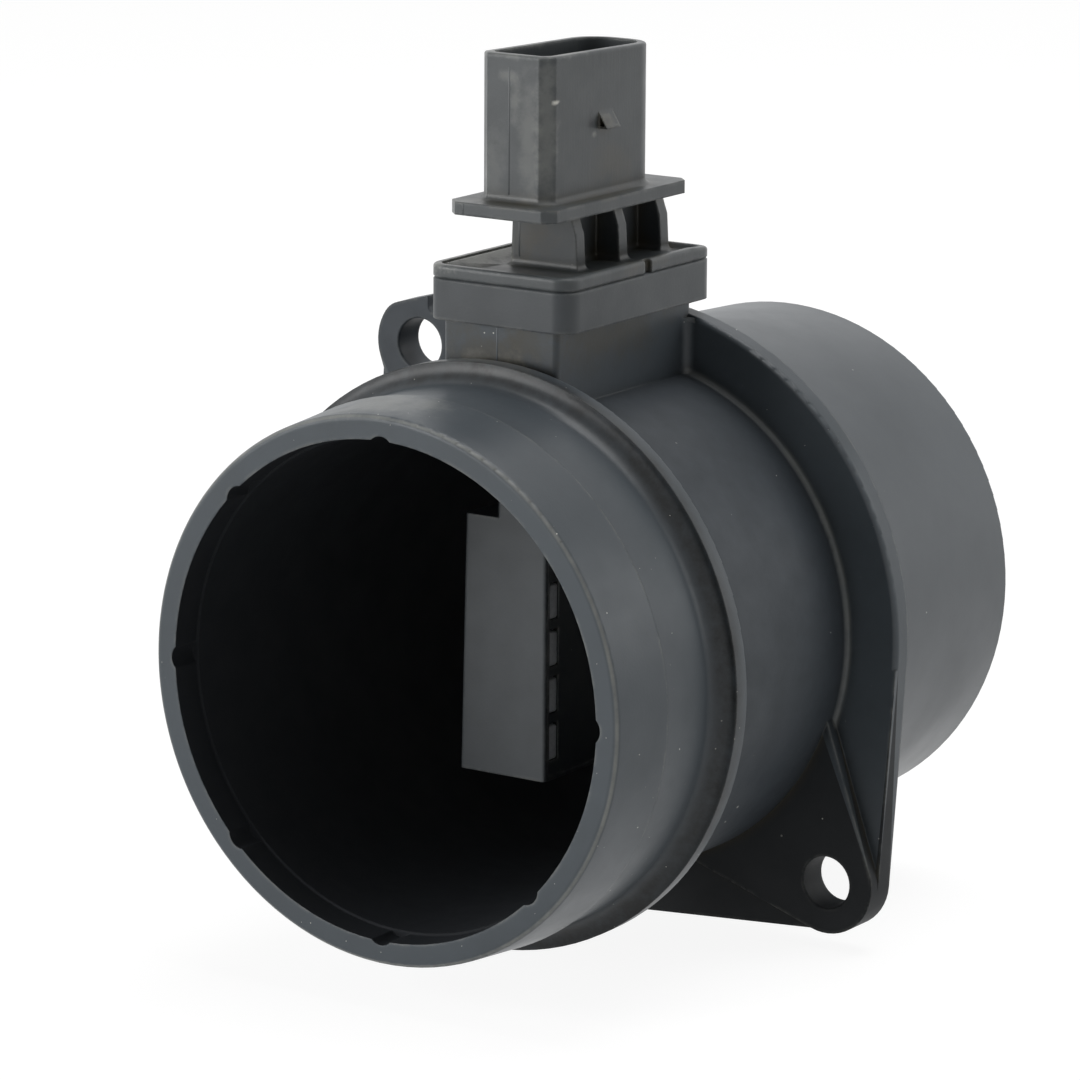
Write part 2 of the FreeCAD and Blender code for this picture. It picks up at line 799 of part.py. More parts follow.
def connector_cover():
    """Cover with its tray, neck, connector plate and shroud: one moulding over the terminals."""
    cover = rounded_prism(-block_half_width, block_half_width, block_front_y, block_rear_y,
                          block_split_z, block_top_z, block_corner)
    low = block_top_z - cover_rear_drop
    slope = polygon([
        V(-block_half_width, block_rear_y - cover_drop_length, block_top_z),
        V(-block_half_width, block_rear_y, low), V(-block_half_width, block_rear_y, block_top_z),
    ]).extrude(V(2 * block_half_width, 0, 0))
    cover = cover.cut(slope)
    cover = cover.makeFillet(cover_edge, edges_above(cover, low))
    cover = cover.makeChamfer(parting_bevel, edges_at_z(cover, block_split_z))
    tray = rounded_prism(-block_half_width + tray_rim, block_half_width - tray_rim, block_front_y + tray_rim,
                         block_rear_y - tray_rim, tray_floor_z, block_top_z, block_corner - tray_rim)
    tray = tray.makeChamfer(tray_slope, edges_at_z(tray, tray_floor_z))
    lower = cover.cut(tray).fuse(neck()).removeSplitter()
    feet = foot_edges(lower, tray_floor_z, neck_half_width + neck_draft, neck_front_y, neck_rear_y)
    feet = [edge for edge in feet if edge.BoundBox.YMin < neck_rear_y - 1e-4]
    lower = lower.makeFillet(neck_foot, feet)
    lower = lower.fuse(chamber(block_split_z - cover_step, block_split_z, cover_step_gap))
    upper = connector_plate().fuse(shroud_shell()).removeSplitter()
    upper = upper.makeFillet(shroud_foot, foot_edges(upper, plate_top_z, shroud_half_width,
                                                     shroud_front_y, shroud_rear_y))
    body = lower.fuse([upper, latch_nub()]).removeSplitter()
    cavity = shroud_prism(shroud_wall, cavity_floor_z, shroud_top_z)
    notch = box(block_half_width - cover_notch_depth, block_half_width, cover_notch_y,
                cover_notch_y + cover_notch_width, block_split_z, block_top_z)
    cuts = [cavity, notch, latch_core()] + [terminal(index) for index in range(terminal_count)]
    return body.cut(cuts)


def build():
    """Every piece of the sensor by its node name."""
    pieces = {
        "tube_housing": tube_housing(),
        "flow_grid": flow_grid(),
        "grid_retaining_ring": grid_ring(),
        "sensor_carrier": sensor_carrier(),
        "plug_seal": seal_ring(),
        "bypass_side_cover": side_cover(),
        "bypass_shield_strip": shield_strip(),
        "measuring_strip": measuring_strip().cut(element_box()),
        "hot_film_element": element_box(),
        "air_temperature_bead": temperature_bead(),
        "temperature_lead_front": temperature_lead(-1),
        "temperature_lead_rear": temperature_lead(1),
        "cover_bond_ring": bond_ring(),
        "heat_spreader": heat_spreader(),
        "circuit_board": circuit_board(),
        "signal_chip": signal_chip(),
        "power_chip": power_chip(),
        "connector_cover": connector_cover(),
    }
    for index in range(capacitor_count):
        pieces["capacitor_" + str(index + 1)] = capacitor(index)
    for index in range(terminal_count):
        pieces["terminal_" + str(index + 1)] = terminal(index)
    return pieces


os.makedirs("parts", exist_ok=True)
for name, shape in build().items():
    shape = shape.removeSplitter() if len(shape.Solids) == 1 else shape
    shape.exportStep(os.path.join("parts", name + ".step"))
    print(name, len(shape.Solids), round(shape.Volume, 2), shape.isValid())
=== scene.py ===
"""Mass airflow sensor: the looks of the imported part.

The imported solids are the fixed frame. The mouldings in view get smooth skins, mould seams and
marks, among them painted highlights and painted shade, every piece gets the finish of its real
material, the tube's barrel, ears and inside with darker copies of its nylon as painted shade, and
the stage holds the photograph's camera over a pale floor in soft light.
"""

import json
import math

import bpy
from bpy.props import FloatProperty, FloatVectorProperty, PointerProperty
from mathutils import Matrix, Vector

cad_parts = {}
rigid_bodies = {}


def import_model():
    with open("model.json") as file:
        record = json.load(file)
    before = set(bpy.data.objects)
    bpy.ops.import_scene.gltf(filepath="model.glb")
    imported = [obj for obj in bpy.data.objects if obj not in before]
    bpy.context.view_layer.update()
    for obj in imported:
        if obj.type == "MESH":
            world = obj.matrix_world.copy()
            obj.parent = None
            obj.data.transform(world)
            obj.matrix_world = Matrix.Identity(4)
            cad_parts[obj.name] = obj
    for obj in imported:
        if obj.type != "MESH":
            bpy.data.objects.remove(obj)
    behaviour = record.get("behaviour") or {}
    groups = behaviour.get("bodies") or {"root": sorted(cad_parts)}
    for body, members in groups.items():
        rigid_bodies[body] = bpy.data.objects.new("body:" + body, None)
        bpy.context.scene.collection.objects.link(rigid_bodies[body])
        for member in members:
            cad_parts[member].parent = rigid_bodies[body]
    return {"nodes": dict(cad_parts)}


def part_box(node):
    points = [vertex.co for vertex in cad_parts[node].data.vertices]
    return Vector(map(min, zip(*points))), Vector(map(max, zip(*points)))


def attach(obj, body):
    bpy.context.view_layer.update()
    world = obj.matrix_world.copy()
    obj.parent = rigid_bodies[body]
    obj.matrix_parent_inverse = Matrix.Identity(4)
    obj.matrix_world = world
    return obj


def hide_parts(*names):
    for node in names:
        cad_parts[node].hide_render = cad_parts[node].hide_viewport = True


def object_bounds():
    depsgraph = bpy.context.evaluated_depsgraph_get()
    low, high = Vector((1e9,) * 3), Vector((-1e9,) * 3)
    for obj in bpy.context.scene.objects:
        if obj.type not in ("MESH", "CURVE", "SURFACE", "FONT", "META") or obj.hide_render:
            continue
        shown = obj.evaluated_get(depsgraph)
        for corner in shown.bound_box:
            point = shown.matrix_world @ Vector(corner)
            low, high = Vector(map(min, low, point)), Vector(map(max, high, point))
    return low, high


bl_info = {
    "name": "Mass airflow sensor",
    "version": (1, 0, 0),
    "blender": (4, 5, 0),
    "location": "View3D > Sidebar > Airflow sensor",
    "description": "Dresses a packed mass airflow sensor with moulded skins, seams and finishes",
    "category": "Object",
}

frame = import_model()
cad_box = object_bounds()

MM = 0.001
BODY = "root"

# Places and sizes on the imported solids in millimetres: Y along the tube from the flange's rear
# face, X across it and Z up to the connector.
MOUTH_FACE = -67.3
MOUTH_RADIUS = 39.8
COLLAR_FRONT = -42.0
COLLAR_BACK = -39.1
COLLAR_RADIUS = 43.6
FLANGE_FRONT = -3.3
BARREL_RADIUS = 38.4
DRUM_RADIUS = 45.0
EAR_LEFT = 26.0
EAR_LOW = 26.0
TRAY_FLOOR = 55.1
TRAY_LEFT = -9.5

# The four slots in the measuring body's side cover, and the pads seen through them.
SLOT_COUNT = 4
SLOT_PITCH = 7.05
SLOT_LOW = -13.4
SLOT_SHIFT = -0.35
PAD_THICKNESS = 1.0
PAD_SUNK = 0.1
PAD_WIDTH = 2.2
PAD_HEIGHT = 5.2

# Share of a seam's or pad's thinnest side that its long edges are rounded by.
ROUNDED_SHARE = 0.45

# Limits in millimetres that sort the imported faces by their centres.
NEAR = 0.05
TUBE_WALL = 1.0
BORE_SPARE = 0.8
BARREL_SPARE = 0.5
EAR_SPARE = 0.4
DRUM_SPARE = 0.1
FLANGE_REAR = 0.1
DRUM_START = 0.2
EAR_FRONT = FLANGE_FRONT - 2.5
LOW_EAR_TOP = -20.0

# Sizes in the patterns of the plastics, in millimetres: the patches that fray dirt, scuffs and
# the painted shade and highlights, the way between places where specks gather, and how far in from
# an edge the plastic is rubbed.
PATCH_WIDTH = 4.0
GATHER_WIDTH = 18.0
RUB_REACH = 0.6

# How far a mark's edge wanders with the patches, as a share of the mark's reach, and the range
# over which the mark then grows from bare plastic to its full share.
FRAYING = 2.4
MARK_RANGE = {"From Min": 0.1, "From Max": -1.1}

# The middle range of two clouds added, and of one fine noise, over which tones are spread.
CLOUD_RANGE = {"From Min": 0.7, "From Max": 1.3}
NOISE_RANGE = {"From Min": 0.3, "From Max": 0.7}

# The ranges over which corner dirt and painted shade take hold towards a corner, rubbing towards
# an edge and within its patches, and specks at the places where they gather.
CORNER_RANGE = {"From Min": 0.85, "From Max": 0.4}
EDGE_RANGE = {"From Min": 0.95, "From Max": 0.5}
PATCH_RANGE = {"From Min": 0.42, "From Max": 0.62}
GATHER_RANGE = {"From Min": 0.35, "From Max": 0.65}
GLOSS_SPREAD = 0.06

# The floor's fibre width in metres, and how strong and how large its white share is where it is
# seen directly.
FLOOR_FIBRE = 0.03
FLOOR_WHITE = 1.13
FLOOR_WHITE_SHARE = 0.8

# The camera's film width in millimetres, and the nearest distance that it sees in metres.
SENSOR_WIDTH = 36
NEAREST_SEEN = 0.01

WHITE = (1, 1, 1)


def linear(code):
    """An sRGB hex colour as the linear red, green and blue that Blender's sockets take."""
    parts = [int(code[i:i + 2], 16) / 255 for i in (1, 3, 5)]
    return tuple(c / 12.92 if c <= 0.04045 else ((c + 0.055) / 1.055) ** 2.4 for c in parts)


def colour(name, code, text):
    """A colour property with its default given as sRGB hex."""
    return FloatVectorProperty(
        name=name, description=text, default=linear(code), subtype="COLOR", size=3, min=0, max=1
    )


def length(name, millimetres, text):
    """A length property whose default is given in millimetres."""
    return FloatProperty(
        name=name, description=text, default=millimetres * MM, min=0, precision=5, unit="LENGTH"
    )


class AirflowShapes(bpy.types.PropertyGroup):
    """Sizes of the skins, seams and marks."""

    smooth_angle: FloatProperty(
        name="Smooth angle",
        description="Faces that meet more gently than this are shaded as one surface",
        default=math.radians(28), min=0, max=math.pi, subtype="ANGLE",
    )
    merge_distance: length("Merge distance", 0.001, "Corners nearer than this become one")
    edge_round: length("Edge round", 0.4, "Radius that the mould leaves on a sharp edge")
    seam_width: length("Seam width", 0.28, "Width of the line where two mould halves met")
    seam_height: length("Seam height", 0.04, "How far a mould seam stands proud")
    tray_rise: length("Tray rise", 1.15, "How far the cover's tray rises to its left rim")


class AirflowColours(bpy.types.PropertyGroup):
    """Colours of the materials."""

    housing: colour("Housing", "#42484d", "Glass filled nylon of the tube, outside")
    # Painted shade: the housing nylon made darker for the barrel and the upper ear.
    barrel: colour("Barrel", "#363b40", "The nylon between collar and flange, a little darker")
    # Painted shade: the housing nylon made darker for the low ear.
    low_ear_shade: colour("Sheltered housing", "#282a2c", "The nylon of the low ear, clean and dark")
    # Painted shade: the housing nylon made dark inside the tube, and on the latch nub's front.
    bore_shade: colour("Bore", "#26282b", "The same nylon inside the tube, clean and dark")
    cover: colour("Connector cover", "#3d4143", "Glass filled polyester of cover and shroud")
    carrier: colour("Sensor carrier", "#3b3f42", "Polyester of block and measuring body")
    grid: colour("Flow grid", "#1c1d1f", "Black polyester of the honeycomb")
    # Dust on rubbed edges; also the colour of painted highlights on the shroud, the tray's left,
    # the spigot's top and the mouth's lip.
    dust: colour("Dust", "#8f908b", "Rubbed and dusty edges")
    speck: colour("Specks", "#e9e7de", "Fine light specks of dust")
    crevice: colour("Crevice dirt", "#413c2f", "Brown film where walls meet")
    # Painted shade, laid in the tube's corners and in the collar's fillet.
    corner_shade: colour("Grime", "#17191a", "Dark film in the corners of the tube")
    aluminium: colour("Aluminium", "#b9bcbd", "Heat spreader")
    etched: colour("Etched aluminium", "#dcdedf", "Shield strip behind the four slots")
    steel: colour("Spring steel", "#a3a5a8", "Retaining ring behind the grid")
    tin: colour("Tin plate", "#c7c1ac", "Plated terminals and leads")
    ceramic: colour("Ceramic", "#dcdad0", "Fired alumina board and strip")
    rubber: colour("Seal rubber", "#26282a", "Ring seal and cured bond")
    resin: colour("Chip resin", "#1f2022", "Moulded epoxy of the chips")
    film: colour("Sensing film", "#2c3336", "Glassy film over the heater")
    bead: colour("Bead resin", "#2b241d", "Dipped resin of the temperature bead")
    capacitor: colour("Capacitor", "#8a6a48", "Fired body of the capacitors")
    floor: colour("Floor", "#f4f4f3", "Pale floor under the object")


class AirflowStage(bpy.types.PropertyGroup):
    """The photograph's camera and the soft light."""

    azimuth: FloatProperty(
        name="Camera azimuth", description="Turn of the camera to the right of the mouth",
        default=math.radians(33.831517), subtype="ANGLE",
    )
    elevation: FloatProperty(
        name="Camera elevation", description="Height angle of the camera",
        default=math.radians(12.875433), subtype="ANGLE",
    )
    roll: FloatProperty(
        name="Camera roll", description="Turn of the camera about its own axis",
        default=math.radians(0.310586), subtype="ANGLE",
    )
    distance: length("Camera distance", 816.245447, "From the aim point on the tube's axis")
    aim_y: length("Aim point", 27.3, "How far in front of the flange the camera is aimed")
    right: length("Camera right", 0.258375, "Camera shifted along its own right")
    up: length("Camera up", 14.438022, "Camera shifted along its own up")
    lens: FloatProperty(
        name="Lens", description="Focal length in millimetres for a 36 mm sensor",
        default=184.758100, min=1,
    )
    world_light: FloatProperty(
        name="Room light", description="Strength of the light from all round", default=0.15, min=0
    )
    key_power: FloatProperty(
        name="Key light", description="Softbox at the front left", default=15.5, min=0
    )
    top_power: FloatProperty(
        name="Top light", description="Softbox above", default=10.0, min=0
    )
    rear_power: FloatProperty(
        name="Rear light", description="Softbox at the rear right", default=4.0, min=0
    )
    floor_size: length("Floor size", 8000.0, "Side of the square floor")


def add_node(tree, kind, inputs=None, **settings):
    """Adds a node, sets it, and fills its inputs with values or with links from (node, output)."""
    node = tree.nodes.new(kind)
    for name, value in settings.items():
        setattr(node, name, value)
    for key, value in (inputs or {}).items():
        if isinstance(value, tuple) and isinstance(value[0], bpy.types.Node):
            tree.links.new(value[0].outputs[value[1]], node.inputs[key])
        else:
            node.inputs[key].default_value = value
    return node


def start_material(name, **shader_values):
    """A new material with its shader, and object coordinates counted in millimetres."""
    material = bpy.data.materials.new(name)
    material.use_nodes = True
    tree = material.node_tree
    tree.nodes.clear()
    shader = add_node(tree, "ShaderNodeBsdfPrincipled", shader_values)
    add_node(tree, "ShaderNodeOutputMaterial", {"Surface": (shader, "BSDF")})
    place = add_node(tree, "ShaderNodeTexCoord")
    mm = add_node(
        tree, "ShaderNodeMapping",
        {"Vector": (place, "Object"), "Scale": (1 / MM, 1 / MM, 1 / MM)},
    )
    return material, tree, shader, mm


def rgba(values):
    """A colour with full alpha."""
    return (*values, 1.0)


def blend_over(tree, under, share, over):
    """Colour node that lays one colour over another by the given share."""
    return add_node(
        tree, "ShaderNodeMix", {"Factor": share, "A": under, "B": over}, data_type="RGBA"
    )


def tinted(tree, base, value, span, low, high):
    """Colour node that makes a base colour darker and paler by a value over its span."""
    tone = add_node(
        tree, "ShaderNodeMapRange", {"Value": value, **span, "To Min": low, "To Max": high}
    )
    return add_node(
        tree, "ShaderNodeMix", {"Factor": 1.0, "A": rgba(base), "B": (tone, "Result")},
        data_type="RGBA", blend_type="MULTIPLY",
    )


def vary_roughness(tree, shader, value, span, low, high):
    """Lets the shader's roughness follow a value over its span."""
    gloss = add_node(
        tree, "ShaderNodeMapRange", {"Value": value, **span, "To Min": low, "To Max": high}
    )
    tree.links.new(gloss.outputs["Result"], shader.inputs["Roughness"])


def bump_surface(tree, shader, height, depth, edge_round):
    """Gives the shader a bump of the given depth in millimetres, over softly rounded edges."""
    soft = add_node(tree, "ShaderNodeBevel", {"Radius": edge_round}, samples=4)
    bump = add_node(
        tree, "ShaderNodeBump",
        {"Height": height, "Strength": 1.0, "Distance": depth * MM, "Normal": (soft, "Normal")},
    )
    tree.links.new(bump.outputs["Normal"], shader.inputs["Normal"])


def clouds(tree, mm, width):
    """Cloudy value, as where a filled melt flowed: clouds of two widths, added."""
    cloud = add_node(
        tree, "ShaderNodeTexNoise",
        {"Vector": (mm, "Vector"), "Scale": 1 / width, "Detail": 5.0, "Roughness": 0.62},
    )
    wide = add_node(
        tree, "ShaderNodeTexNoise",
        {"Vector": (mm, "Vector"), "Scale": 1 / (4 * width), "Detail": 2.0},
    )
    return add_node(
        tree, "ShaderNodeMath", {0: (cloud, "Fac"), 1: (wide, "Fac")}, operation="ADD"
    )


def lay_corner_dirt_and_shade(tree, shaded, patch, reach, share, dirt):
    """Film where walls meet: brown dirt in the crevice colour, painted shade in the corner shade
    colour.
    """
    corner = add_node(
        tree, "ShaderNodeAmbientOcclusion", {"Distance": reach * MM}, samples=6, only_local=True
    )
    closed = add_node(
        tree, "ShaderNodeMapRange",
        {"Value": (corner, "AO"), **CORNER_RANGE, "To Min": 0.0, "To Max": 2 * share},
    )
    patchy = add_node(
        tree, "ShaderNodeMath", {0: (closed, "Result"), 1: (patch, "Fac")},
        operation="MULTIPLY", use_clamp=True,
    )
    return blend_over(tree, (shaded, "Result"), (patchy, "Value"), rgba(dirt))


def lay_rubbing(tree, shaded, patch, share, dust):
    """Rubbed edges, where dust and handling leave the plastic paler."""
    edge = add_node(
        tree, "ShaderNodeAmbientOcclusion", {"Distance": RUB_REACH * MM}, samples=6, inside=True,
        only_local=True,
    )
    rubbed = add_node(
        tree, "ShaderNodeMapRange",
        {"Value": (edge, "AO"), **EDGE_RANGE, "To Min": 0.0, "To Max": 2 * share},
    )
    uneven = add_node(tree, "ShaderNodeMapRange", {"Value": (patch, "Fac"), **PATCH_RANGE})
    worn = add_node(
        tree, "ShaderNodeMath", {0: (rubbed, "Result"), 1: (uneven, "Result")},
        operation="MULTIPLY",
    )
    return blend_over(tree, (shaded, "Result"), (worn, "Value"), rgba(dust))


def lay_marks(tree, mm, shaded, patch, marks):
    """Stains, scuffs, painted shade and highlights at their places, with edges that the patches
    fray.
    """
    for centre, reach, share, mark_colour in marks:
        away = add_node(
            tree, "ShaderNodeMapping",
            {"Vector": (mm, "Vector"), "Scale": tuple(1 / r for r in reach),
             "Location": tuple(-c / r for c, r in zip(centre, reach))},
        )
        far = add_node(tree, "ShaderNodeVectorMath", {0: (away, "Vector")}, operation="LENGTH")
        frayed = add_node(
            tree, "ShaderNodeMath", {0: (patch, "Fac"), 1: -FRAYING, 2: (far, "Value")},
            operation="MULTIPLY_ADD",
        )
        laid = add_node(
            tree, "ShaderNodeMapRange",
            {"Value": (frayed, "Value"), **MARK_RANGE, "To Min": 0.0, "To Max": share},
            interpolation_type="SMOOTHSTEP",
        )
        shaded = blend_over(tree, (shaded, "Result"), (laid, "Result"), rgba(mark_colour))
    return shaded


def lay_rings(tree, mm, shaded, patch, rings):
    """Lines round the tube, along its junctions and lip: pale dust, painted shade and a painted
    highlight.
    """
    parts = add_node(tree, "ShaderNodeSeparateXYZ", {"Vector": (mm, "Vector")})
    flat = add_node(tree, "ShaderNodeCombineXYZ", {"X": (parts, "X"), "Z": (parts, "Z")})
    radius = add_node(tree, "ShaderNodeVectorMath", {0: (flat, "Vector")}, operation="LENGTH")
    polar = add_node(tree, "ShaderNodeCombineXYZ", {"X": (radius, "Value"), "Y": (parts, "Y")})
    for line_radius, line_y, width, share, mark_colour in rings:
        gap = add_node(
            tree, "ShaderNodeVectorMath", {0: (polar, "Vector"), 1: (line_radius, line_y, 0)},
            operation="DISTANCE",
        )
        lying = add_node(
            tree, "ShaderNodeMapRange",
            {"Value": (gap, "Value"), "From Min": width, "From Max": 0.2 * width, "To Min": 0.0,
             "To Max": 2 * share},
            interpolation_type="SMOOTHSTEP",
        )
        uneven = add_node(
            tree, "ShaderNodeMath", {0: (lying, "Result"), 1: (patch, "Fac")},
            operation="MULTIPLY", use_clamp=True,
        )
        shaded = blend_over(tree, (shaded, "Result"), (uneven, "Value"), rgba(mark_colour))
    return shaded


def lay_specks(tree, mm, shaded, pitch, radius, share, light):
    """Specks of light dust: one cell in a few holds one, more in some places than in others."""
    cells = add_node(
        tree, "ShaderNodeTexVoronoi",
        {"Vector": (mm, "Vector"), "Scale": 1 / pitch, "Randomness": 1.0},
    )
    chance = add_node(tree, "ShaderNodeSeparateColor", {"Color": (cells, "Color")})
    size = add_node(
        tree, "ShaderNodeMath",
        {0: (chance, "Green"), 1: radius / pitch, 2: 0.3 * radius / pitch},
        operation="MULTIPLY_ADD",
    )
    near = add_node(
        tree, "ShaderNodeMath", {0: (cells, "Distance"), 1: (size, "Value")},
        operation="LESS_THAN",
    )
    gather = add_node(
        tree, "ShaderNodeTexNoise", {"Vector": (mm, "Vector"), "Scale": 1 / GATHER_WIDTH}
    )
    density = add_node(
        tree, "ShaderNodeMapRange",
        {"Value": (gather, "Fac"), **GATHER_RANGE, "To Min": 0.3 * share,
         "To Max": 1.7 * share},
    )
    chosen = add_node(
        tree, "ShaderNodeMath", {0: (chance, "Red"), 1: (density, "Result")},
        operation="LESS_THAN",
    )
    speck = add_node(
        tree, "ShaderNodeMath", {0: (near, "Value"), 1: (chosen, "Value")}, operation="MULTIPLY"
    )
    paler = add_node(
        tree, "ShaderNodeMath", {0: (speck, "Value"), 1: (chance, "Blue")}, operation="MULTIPLY"
    )
    return blend_over(tree, (shaded, "Result"), (paler, "Value"), rgba(light))


def mould_grain(tree, mm, grain, streak):
    """Height of a spark eroded mould's texture, with lines where a streak is given.

    The real texture is about 0.1 mm wide, too fine to show here, so it is drawn coarser.
    A streak holds how often the lines repeat in a millimetre along each axis.
    """
    skin = add_node(
        tree, "ShaderNodeTexNoise",
        {"Vector": (mm, "Vector"), "Scale": 1 / grain, "Detail": 2.0, "Roughness": 0.6},
    )
    if not streak:
        return skin, "Fac"
    drawn = add_node(tree, "ShaderNodeMapping", {"Vector": (mm, "Vector"), "Scale": streak})
    lines = add_node(
        tree, "ShaderNodeTexNoise",
        {"Vector": (drawn, "Vector"), "Scale": 1.0, "Detail": 3.0, "Roughness": 0.5},
    )
    summed = add_node(
        tree, "ShaderNodeMath", {0: (lines, "Fac"), 1: (skin, "Fac")}, operation="ADD"
    )
    return summed, "Value"


def moulded_plastic(
    name, base, roughness, specular, grain=0.35, grain_depth=0.014, mottle=7.0, mottle_share=0.12,
    speck_pitch=2.4, speck_radius=0.16, speck_share=0.35, dirt_and_shade_reach=3.0, dirt_and_shade_share=0.6,
    edge_share=0.18, streak=None, marks=(), rings=(), soften=1.0, dirt=None,
):
    """Moulded plastic. Lengths are in millimetres, and shares run from 0 to 1.

    Marks are stains, scuffs, painted shade and highlights: a centre, a reach on each axis, a
    share, a colour.
    Rings are lines round the tube: a radius, a place along it, a width, a share and a colour.
    Soften is how much rounder the edges look than the mould's usual rounding.
    """
    colours = bpy.context.scene.airflow_colours
    edge_round = bpy.context.scene.airflow_shapes.edge_round
    material, tree, shader, mm = start_material(name, **{"Specular IOR Level": specular})
    cloudy = (clouds(tree, mm, mottle), "Value")
    shaded = tinted(tree, base, cloudy, CLOUD_RANGE, 1 - mottle_share, 1 + mottle_share)
    patch = add_node(
        tree, "ShaderNodeTexNoise",
        {"Vector": (mm, "Vector"), "Scale": 1 / PATCH_WIDTH, "Detail": 4.0, "Roughness": 0.7},
    )
    # Corner film: brown dirt with the crevice colour, painted shade with the corner shade colour.
    if dirt_and_shade_share:
        shaded = lay_corner_dirt_and_shade(tree, shaded, patch, dirt_and_shade_reach, dirt_and_shade_share, dirt or colours.crevice)
    if edge_share:
        shaded = lay_rubbing(tree, shaded, patch, edge_share, colours.dust)
    if marks:
        shaded = lay_marks(tree, mm, shaded, patch, marks)
    if rings:
        shaded = lay_rings(tree, mm, shaded, patch, rings)
    if speck_share:
        shaded = lay_specks(
            tree, mm, shaded, speck_pitch, speck_radius, speck_share, colours.speck
        )
    tree.links.new(shaded.outputs["Result"], shader.inputs["Base Color"])
    vary_roughness(
        tree, shader, cloudy, CLOUD_RANGE, roughness + GLOSS_SPREAD, roughness - GLOSS_SPREAD
    )
    height = mould_grain(tree, mm, grain, streak)
    bump_surface(tree, shader, height, grain_depth, soften * edge_round)
    return material


def grained_material(name, base, roughness, metallic, pattern, variation, depth, specular=0.5):
    """A metal, ceramic or resin with a fine pattern of the given widths in millimetres."""
    edge_round = bpy.context.scene.airflow_shapes.edge_round
    material, tree, shader, mm = start_material(
        name, **{"Metallic": metallic, "Specular IOR Level": specular}
    )
    drawn = add_node(
        tree, "ShaderNodeMapping",
        {"Vector": (mm, "Vector"), "Scale": tuple(1 / p for p in pattern)},
    )
    noise = add_node(
        tree, "ShaderNodeTexNoise",
        {"Vector": (drawn, "Vector"), "Scale": 1.0, "Detail": 3.0, "Roughness": 0.6},
    )
    fine = (noise, "Fac")
    shaded = tinted(tree, base, fine, NOISE_RANGE, 1 - variation, 1 + variation / 2)
    tree.links.new(shaded.outputs["Result"], shader.inputs["Base Color"])
    vary_roughness(
        tree, shader, fine, NOISE_RANGE, roughness - GLOSS_SPREAD, roughness + GLOSS_SPREAD
    )
    bump_surface(tree, shader, fine, depth, edge_round / 3)
    return material


def cover_marks(colours):
    """Scuffs and stains on the connector cover: centre, reach, share and colour."""
    dust, brown = colours.dust, colours.crevice
    return (
        # Scuffs high on the shroud's front and painted highlights lower down on both sides of its
        # seam;
        # then a chip, a painted glint below the latch nub and brown dirt on its right side.
        ((-0.8, -34.5, 84.2), (1.6, 2, 0.9), 0.25, dust),
        ((0.4, -34.5, 81.0), (1.2, 2, 3.5), 0.25, dust),
        ((2.6, -34.5, 75.0), (2.0, 2, 10.0), 0.22, dust),
        ((-3.5, -34.5, 72.0), (2.5, 2, 6.0), 0.16, dust),
        ((6.2, -33.2, 80.6), (0.4, 1.4, 0.4), 1.0, colours.speck),
        ((6.2, -22.8, 74.9), (1.2, 0.8, 0.6), 0.5, dust),
        ((6.2, -18.0, 70.0), (2, 6, 3.5), 0.4, brown),
        # Brown film on the plate, round the shroud's foot.
        ((0.0, -36.0, 65.8), (9, 3, 0.6), 0.5, brown),
        ((7.5, -24.0, 65.8), (2, 9, 0.6), 0.5, brown),
        # Brown dust in the cover's tray and on the neck's foot; on the tray's left, pale dust laid
        # thick as painted light over the shade of its left rim's inner wall.
        ((0.0, -31.5, 56.0), (10, 5, 1.2), 0.6, brown),
        ((9.5, -18.0, 55.8), (4, 9, 1.2), 0.6, brown),
        ((-10.0, -24.0, 56.0), (4, 12, 1.5), 0.75, dust),
        ((-9.5, -31.5, 56.0), (5, 6, 1.8), 0.7, dust),
        ((-1.5, -26.2, 60.0), (4, 3, 4), 0.6, brown),
        # A painted highlight on the shroud's front right chamfer, pale dust on its rim, painted
        # shade in the colour of the tube's inside on the latch nub's front, and brown dirt on the
        # nub.
        ((5.2, -33.6, 76.0), (1.6, 1.8, 16.0), 0.3, dust),
        ((0.0, -28.0, 87.4), (9, 14, 1.0), 0.5, dust),
        ((7.0, -23.6, 76.6), (2.0, 0.9, 2.2), 1.0, colours.bore_shade),
        ((7.6, -21.6, 77.2), (1.4, 3.0, 2.0), 0.6, brown),
    )


def tower_marks(colours):
    """Tower dirt, a painted highlight on the spigot's top, dust on the collar: centre, reach,
    share and colour.
    """
    brown, dust = colours.crevice, colours.dust
    return (
        ((-3.0, -37.7, 44.0), (8, 3, 5), 0.6, brown),
        ((5.0, -37.7, 46.0), (6, 3, 4), 0.5, brown),
        ((9.9, -24.0, 46.0), (3, 16, 5), 0.5, brown),
        # A painted highlight on the spigot's top in the dust colour, then pale dust on the
        # collar's top.
        ((-6.0, -61.0, 40.2), (12, 6, 2), 0.35, dust),
        ((-2.0, -41.0, 43.6), (14, 4, 2), 0.3, dust),
    )


def tube_rings(colours):
    """Painted shade in the collar's fillet, a painted highlight on the mouth, pale dust at the
    barrel's ends.
    """
    return (
        # Painted shade: the collar's fillet darkened in the corner shade colour.
        (COLLAR_RADIUS - 1.1, COLLAR_FRONT - 0.5, 3.4, 0.8, colours.corner_shade),
        (BARREL_RADIUS + 0.5, FLANGE_FRONT - 0.2, 0.8, 0.22, colours.dust),
        (BARREL_RADIUS + 0.2, COLLAR_BACK + 0.2, 0.6, 0.3, colours.dust),
        # A painted highlight along the mouth's outer lip, laid in the dust colour.
        (MOUTH_RADIUS, MOUTH_FACE + 0.25, 0.45, 0.45, colours.dust),
    )


